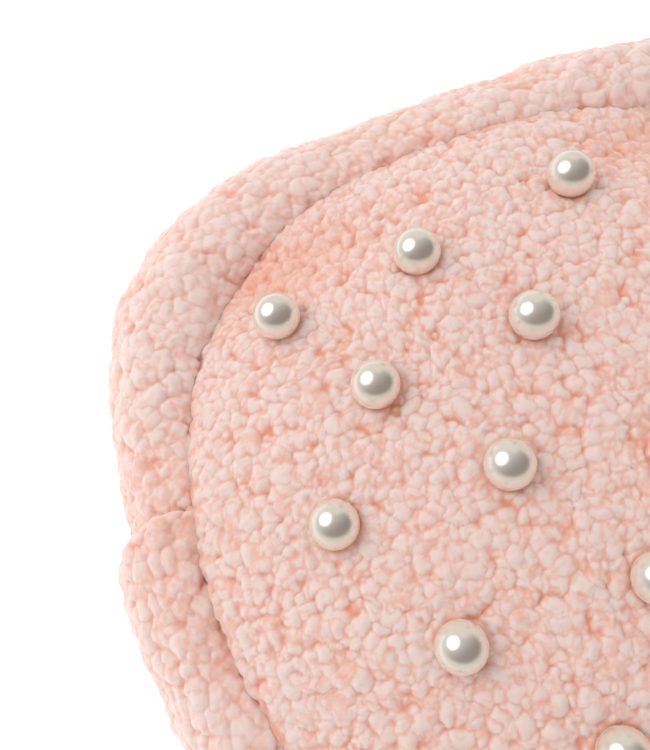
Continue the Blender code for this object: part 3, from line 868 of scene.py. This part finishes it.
# --- Pearls -----------------------------------------------------------------------
# Eighteen round faux pearls in staggered rows, plastic under many coats of pearl lacquer.
# Each has a blind bore below, pressed on the shank of a rivet behind the cloth.

PEARL_TURNS = 56                 # points round the ball
PEARL_ROWS = 36                  # from its top to the bore
PEARL_BORE = 0.0011
PEARL_BORE_DEPTH = 0.0045
PEARL_IVORY = (0.90, 0.85, 0.765, 1.0)
PEARL_BLUSH = (0.91, 0.82, 0.740, 1.0)


def pearl_material():
    """Pearl lacquer: ivory with a faint blush drift, a soft mirror under a clear coat."""
    material, tree, shader = new_material("pearl_plastic")
    drift = add_node(tree, "ShaderNodeGroup", {
        "Scale": 160.0, "Detail": 2.0, "First": PEARL_IVORY, "Second": PEARL_BLUSH},
        node_tree=mottle)
    tree.links.new(drift.outputs["Colour"], shader.inputs["Base Color"])
    grain = add_node(tree, "ShaderNodeGroup", {"Scale": 5200.0, "Detail": 2.0},
                     node_tree=mottle)
    rough = add_node(tree, "ShaderNodeMapRange", {"Value": grain.outputs["Mask"],
                                                   "To Min": 0.17, "To Max": 0.24})
    tree.links.new(rough.outputs["Result"], shader.inputs["Roughness"])
    bump = add_node(tree, "ShaderNodeBump", {"Height": grain.outputs["Mask"], "Strength": 0.05,
                                              "Distance": 0.00002})
    tree.links.new(bump.outputs["Normal"], shader.inputs["Normal"])
    shader.inputs["Metallic"].default_value = 0.66
    shader.inputs["Coat Weight"].default_value = 0.35
    shader.inputs["Coat Roughness"].default_value = 0.06
    return material


def pearl_body(name, middle, axis, material):
    """A ball with a blind bore, turned about its axis.

    The profile is the arc of a circle from the top to the bore's mouth, then the bore's wall
    and its end.
    """
    side = np.cross(axis, (0.0, 1.0, 0.0))
    side /= np.linalg.norm(side)
    front_way = np.cross(axis, side)
    mouth = math.pi - math.asin(PEARL_BORE / pearl_radius)
    tilt = np.linspace(0, mouth, PEARL_ROWS)[1:]
    radius = np.append(pearl_radius * np.sin(tilt), PEARL_BORE)
    height = np.append(pearl_radius * np.cos(tilt), PEARL_BORE_DEPTH - pearl_radius)
    turns = np.linspace(0, 2 * math.pi, PEARL_TURNS, endpoint=False)[None, :, None]
    spoke = np.cos(turns) * side + np.sin(turns) * front_way
    rings = middle + axis * height[:, None, None] + spoke * radius[:, None, None]
    count = rings.shape[0] * PEARL_TURNS
    poles = np.array([middle + axis * pearl_radius, middle + axis * height[-1]])
    ring = np.arange(PEARL_TURNS)
    faces = [grid_faces(len(radius), PEARL_TURNS), pole_faces(ring, count, True),
             pole_faces(count - PEARL_TURNS + ring, count + 1, False)]
    return make_piece(name, np.concatenate([rings.reshape(-1, 3), poles]), faces, material)


lacquer = pearl_material()
for node, middle in zip(PEARLS, pearl_middles):
    pin_low, pin_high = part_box(node.replace("pearl", "pearl_pin"))
    axis = middle - np.array((pin_low + pin_high) / 2)
    axis /= np.linalg.norm(axis)
    pearl = pearl_body(node + "_lacquered", middle, axis, lacquer)
    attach(pearl, "root")
    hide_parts(node)


# --- Rivets -----------------------------------------------------------------------
# A steel rivet behind each pearl: a thin round head under the cloth and a shank up through
# it, turned on a lathe and pressed into the pearl.

RIVET_STEEL = (0.56, 0.56, 0.57, 1.0)
RIVET_DULL = (0.40, 0.40, 0.41, 1.0)


def rivet_material():
    """Turned steel: bright metal with duller, rougher patches."""
    material, tree, shader = new_material("rivet_steel")
    patch = add_node(tree, "ShaderNodeGroup", {
        "Scale": 900.0, "Detail": 3.0, "First": RIVET_DULL, "Second": RIVET_STEEL},
        node_tree=mottle)
    tree.links.new(patch.outputs["Colour"], shader.inputs["Base Color"])
    rough = add_node(tree, "ShaderNodeMapRange", {"Value": patch.outputs["Mask"],
                                                   "To Min": 0.25, "To Max": 0.45})
    tree.links.new(rough.outputs["Result"], shader.inputs["Roughness"])
    shader.inputs["Metallic"].default_value = 1.0
    return material


turned_steel = rivet_material()
for node in PEARLS:
    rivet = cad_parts[node.replace("pearl", "pearl_pin")]
    rivet.material_slots[0].material = turned_steel


# --- Table, light and camera ------------------------------------------------------
# A white table, one round soft light from the upper left, and a bright room round it with
# a darker ceiling, which the pearls mirror.

FLOOR_HALF = 3.0
FLOOR_GLOW = (0.75, 0.02)        # as seen, and as mirrored
LIGHT_WAY = (-0.48, 0.447, 0.755)
LIGHT_DISTANCE = 0.75
LIGHT_SIZE = 0.78
LIGHT_POWER = 2.5
CAMERA_TARGET = np.array([-0.0447 + MIDDLE_X, 0.0338, 0.055])
CAMERA_BACK = (-0.61, 73.77)     # azimuth and elevation in degrees
CAMERA_ROLL = -18.96
CAMERA_DISTANCE = 0.1845
CAMERA_LENS = 42.0
CEILING_MIDDLE = (-0.04, 0.09)   # the ceiling's mirror image on a ball of radius 1
CEILING_HALF = (0.70, 0.54)
CEILING_LIGHT = (0.46, 0.46, 0.47, 1.0)
CEILING_DARK = (0.055, 0.020, 0.0, 1.0)
WALL_LIGHT = (0.66, 0.64, 0.58, 1.0)
AIR_LIGHT = (0.75, 0.735, 0.73, 1.0)

floor_mesh = bpy.data.meshes.new("table_top")
floor_mesh.from_pydata([(-FLOOR_HALF, -FLOOR_HALF, 0), (FLOOR_HALF, -FLOOR_HALF, 0),
                        (FLOOR_HALF, FLOOR_HALF, 0), (-FLOOR_HALF, FLOOR_HALF, 0)],
                       [], [(0, 1, 2, 3)])
floor_material, floor_tree, floor_shader = new_material("table_white")
floor_shader.inputs["Base Color"].default_value = (0.9, 0.9, 0.9, 1.0)
floor_shader.inputs["Roughness"].default_value = 0.8
floor_shader.inputs["Emission Color"].default_value = (1.0, 1.0, 1.0, 1.0)
mirrored = add_node(floor_tree, "ShaderNodeLightPath").outputs["Is Glossy Ray"]
glow = add_node(floor_tree, "ShaderNodeMapRange", {
    "Value": mirrored, "To Min": FLOOR_GLOW[0], "To Max": FLOOR_GLOW[1]})
floor_tree.links.new(glow.outputs["Result"], floor_shader.inputs["Emission Strength"])
floor_mesh.materials.append(floor_material)
floor = bpy.data.objects.new("table_top", floor_mesh)
bpy.context.scene.collection.objects.link(floor)

azimuth, elevation, tilt = (math.radians(v) for v in (*CAMERA_BACK, CAMERA_ROLL))
camera_back = np.array([math.sin(azimuth) * math.cos(elevation),
                        -math.cos(azimuth) * math.cos(elevation), math.sin(elevation)])
level = np.array([math.cos(azimuth), math.sin(azimuth), 0.0])
upward = np.cross(camera_back, level)
camera_right = math.cos(tilt) * level + math.sin(tilt) * upward
camera_up = -math.sin(tilt) * level + math.cos(tilt) * upward


def aim(thing, place, right, up, back):
    """Put a light or camera at a place, with its own axes along right, up and back."""
    turn = np.eye(4)
    turn[:3, 0], turn[:3, 1], turn[:3, 2], turn[:3, 3] = right, up, back, place
    thing.matrix_world = Matrix(turn.tolist())


camera_data = bpy.data.cameras.new("camera")
camera_data.lens = CAMERA_LENS
camera_data.sensor_width = 36.0
camera_data.clip_start = 0.01
camera = bpy.data.objects.new("camera", camera_data)
bpy.context.scene.collection.objects.link(camera)
aim(camera, CAMERA_TARGET + camera_back * CAMERA_DISTANCE, camera_right, camera_up, camera_back)
bpy.context.scene.camera = camera

soft_data = bpy.data.lights.new("soft_light", "AREA")
soft_data.shape = "DISK"
soft_data.size = LIGHT_SIZE
soft_data.energy = LIGHT_POWER
soft_light = bpy.data.objects.new("soft_light", soft_data)
bpy.context.scene.collection.objects.link(soft_light)
light_way = np.array(LIGHT_WAY) / np.linalg.norm(LIGHT_WAY)
light_right = np.cross((0.0, 0.0, 1.0), light_way)
light_right /= np.linalg.norm(light_right)
aim(soft_light, CAMERA_TARGET + light_way * LIGHT_DISTANCE, light_right,
    np.cross(light_way, light_right), light_way)

# A ball mirrors each direction at one place on its face, halfway between the direction and
# the way to the viewer. There the ceiling is an ellipse with a soft rim and a window's
# shine in its upper middle, and it gets darker to the lower right. Only mirroring surfaces
# see it, and the rest is lit evenly by the air.
world = bpy.data.worlds.new("room")
bpy.context.scene.world = world
world.use_nodes = True
tree = world.node_tree
background = tree.nodes["Background"]
way = add_node(tree, "ShaderNodeTexCoord").outputs["Generated"]
toward = add_node(tree, "ShaderNodeVectorMath", {0: way, 1: tuple(camera_back)}, operation="ADD")
mirror = add_node(tree, "ShaderNodeVectorMath", {0: toward.outputs[0]}, operation="NORMALIZE")
sideways = add_node(tree, "ShaderNodeVectorMath", {0: mirror.outputs[0], 1: tuple(camera_right)},
                    operation="DOT_PRODUCT").outputs["Value"]
upright = add_node(tree, "ShaderNodeVectorMath", {0: mirror.outputs[0], 1: tuple(camera_up)},
                   operation="DOT_PRODUCT").outputs["Value"]
offsets = []
for place, middle, half in zip((sideways, upright), CEILING_MIDDLE, CEILING_HALF):
    offset = add_node(tree, "ShaderNodeMath", {0: place, 1: middle}, operation="SUBTRACT")
    offsets.append(add_node(tree, "ShaderNodeMath", {0: offset.outputs[0], 1: half},
                            operation="DIVIDE").outputs[0])
wide, tall = offsets
far = add_node(tree, "ShaderNodeCombineXYZ", {"X": wide, "Y": tall}).outputs[0]
length = add_node(tree, "ShaderNodeVectorMath", {0: far}, operation="LENGTH").outputs["Value"]
aside = add_node(tree, "ShaderNodeMath", {0: wide, 1: -0.12}, operation="ADD").outputs[0]
aside = add_node(tree, "ShaderNodeMath", {0: aside}, operation="ABSOLUTE").outputs[0]
window = add_node(tree, "ShaderNodeMapRange", {"Value": aside, "From Min": 0.45, "From Max": 0.0,
                                                "To Max": 0.42},
                  interpolation_type="SMOOTHSTEP").outputs["Result"]
window = add_node(tree, "ShaderNodeMath", {0: window, 1: tall}, operation="MULTIPLY",
                  use_clamp=True).outputs[0]
length = add_node(tree, "ShaderNodeMath", {0: length, 1: window}, operation="ADD").outputs[0]
rim = add_node(tree, "ShaderNodeMapRange", {"Value": length, "From Min": 0.82, "From Max": 1.12},
               interpolation_type="SMOOTHSTEP").outputs["Result"]
fall = add_node(tree, "ShaderNodeMath", {0: wide, 1: tall}, operation="SUBTRACT").outputs[0]
fall = add_node(tree, "ShaderNodeMapRange", {"Value": fall, "From Min": -0.9, "From Max": 0.7},
                interpolation_type="SMOOTHSTEP").outputs["Result"]
ceiling = mix_colour(tree, fall, CEILING_LIGHT, CEILING_DARK)
mirrored_room = mix_colour(tree, rim, ceiling, WALL_LIGHT)
mirrored = add_node(tree, "ShaderNodeLightPath").outputs["Is Glossy Ray"]
room = mix_colour(tree, mirrored, AIR_LIGHT, mirrored_room)
tree.links.new(room, background.inputs["Color"])
background.inputs["Strength"].default_value = 1.0

bpy.context.scene.view_settings.view_transform = "Standard"
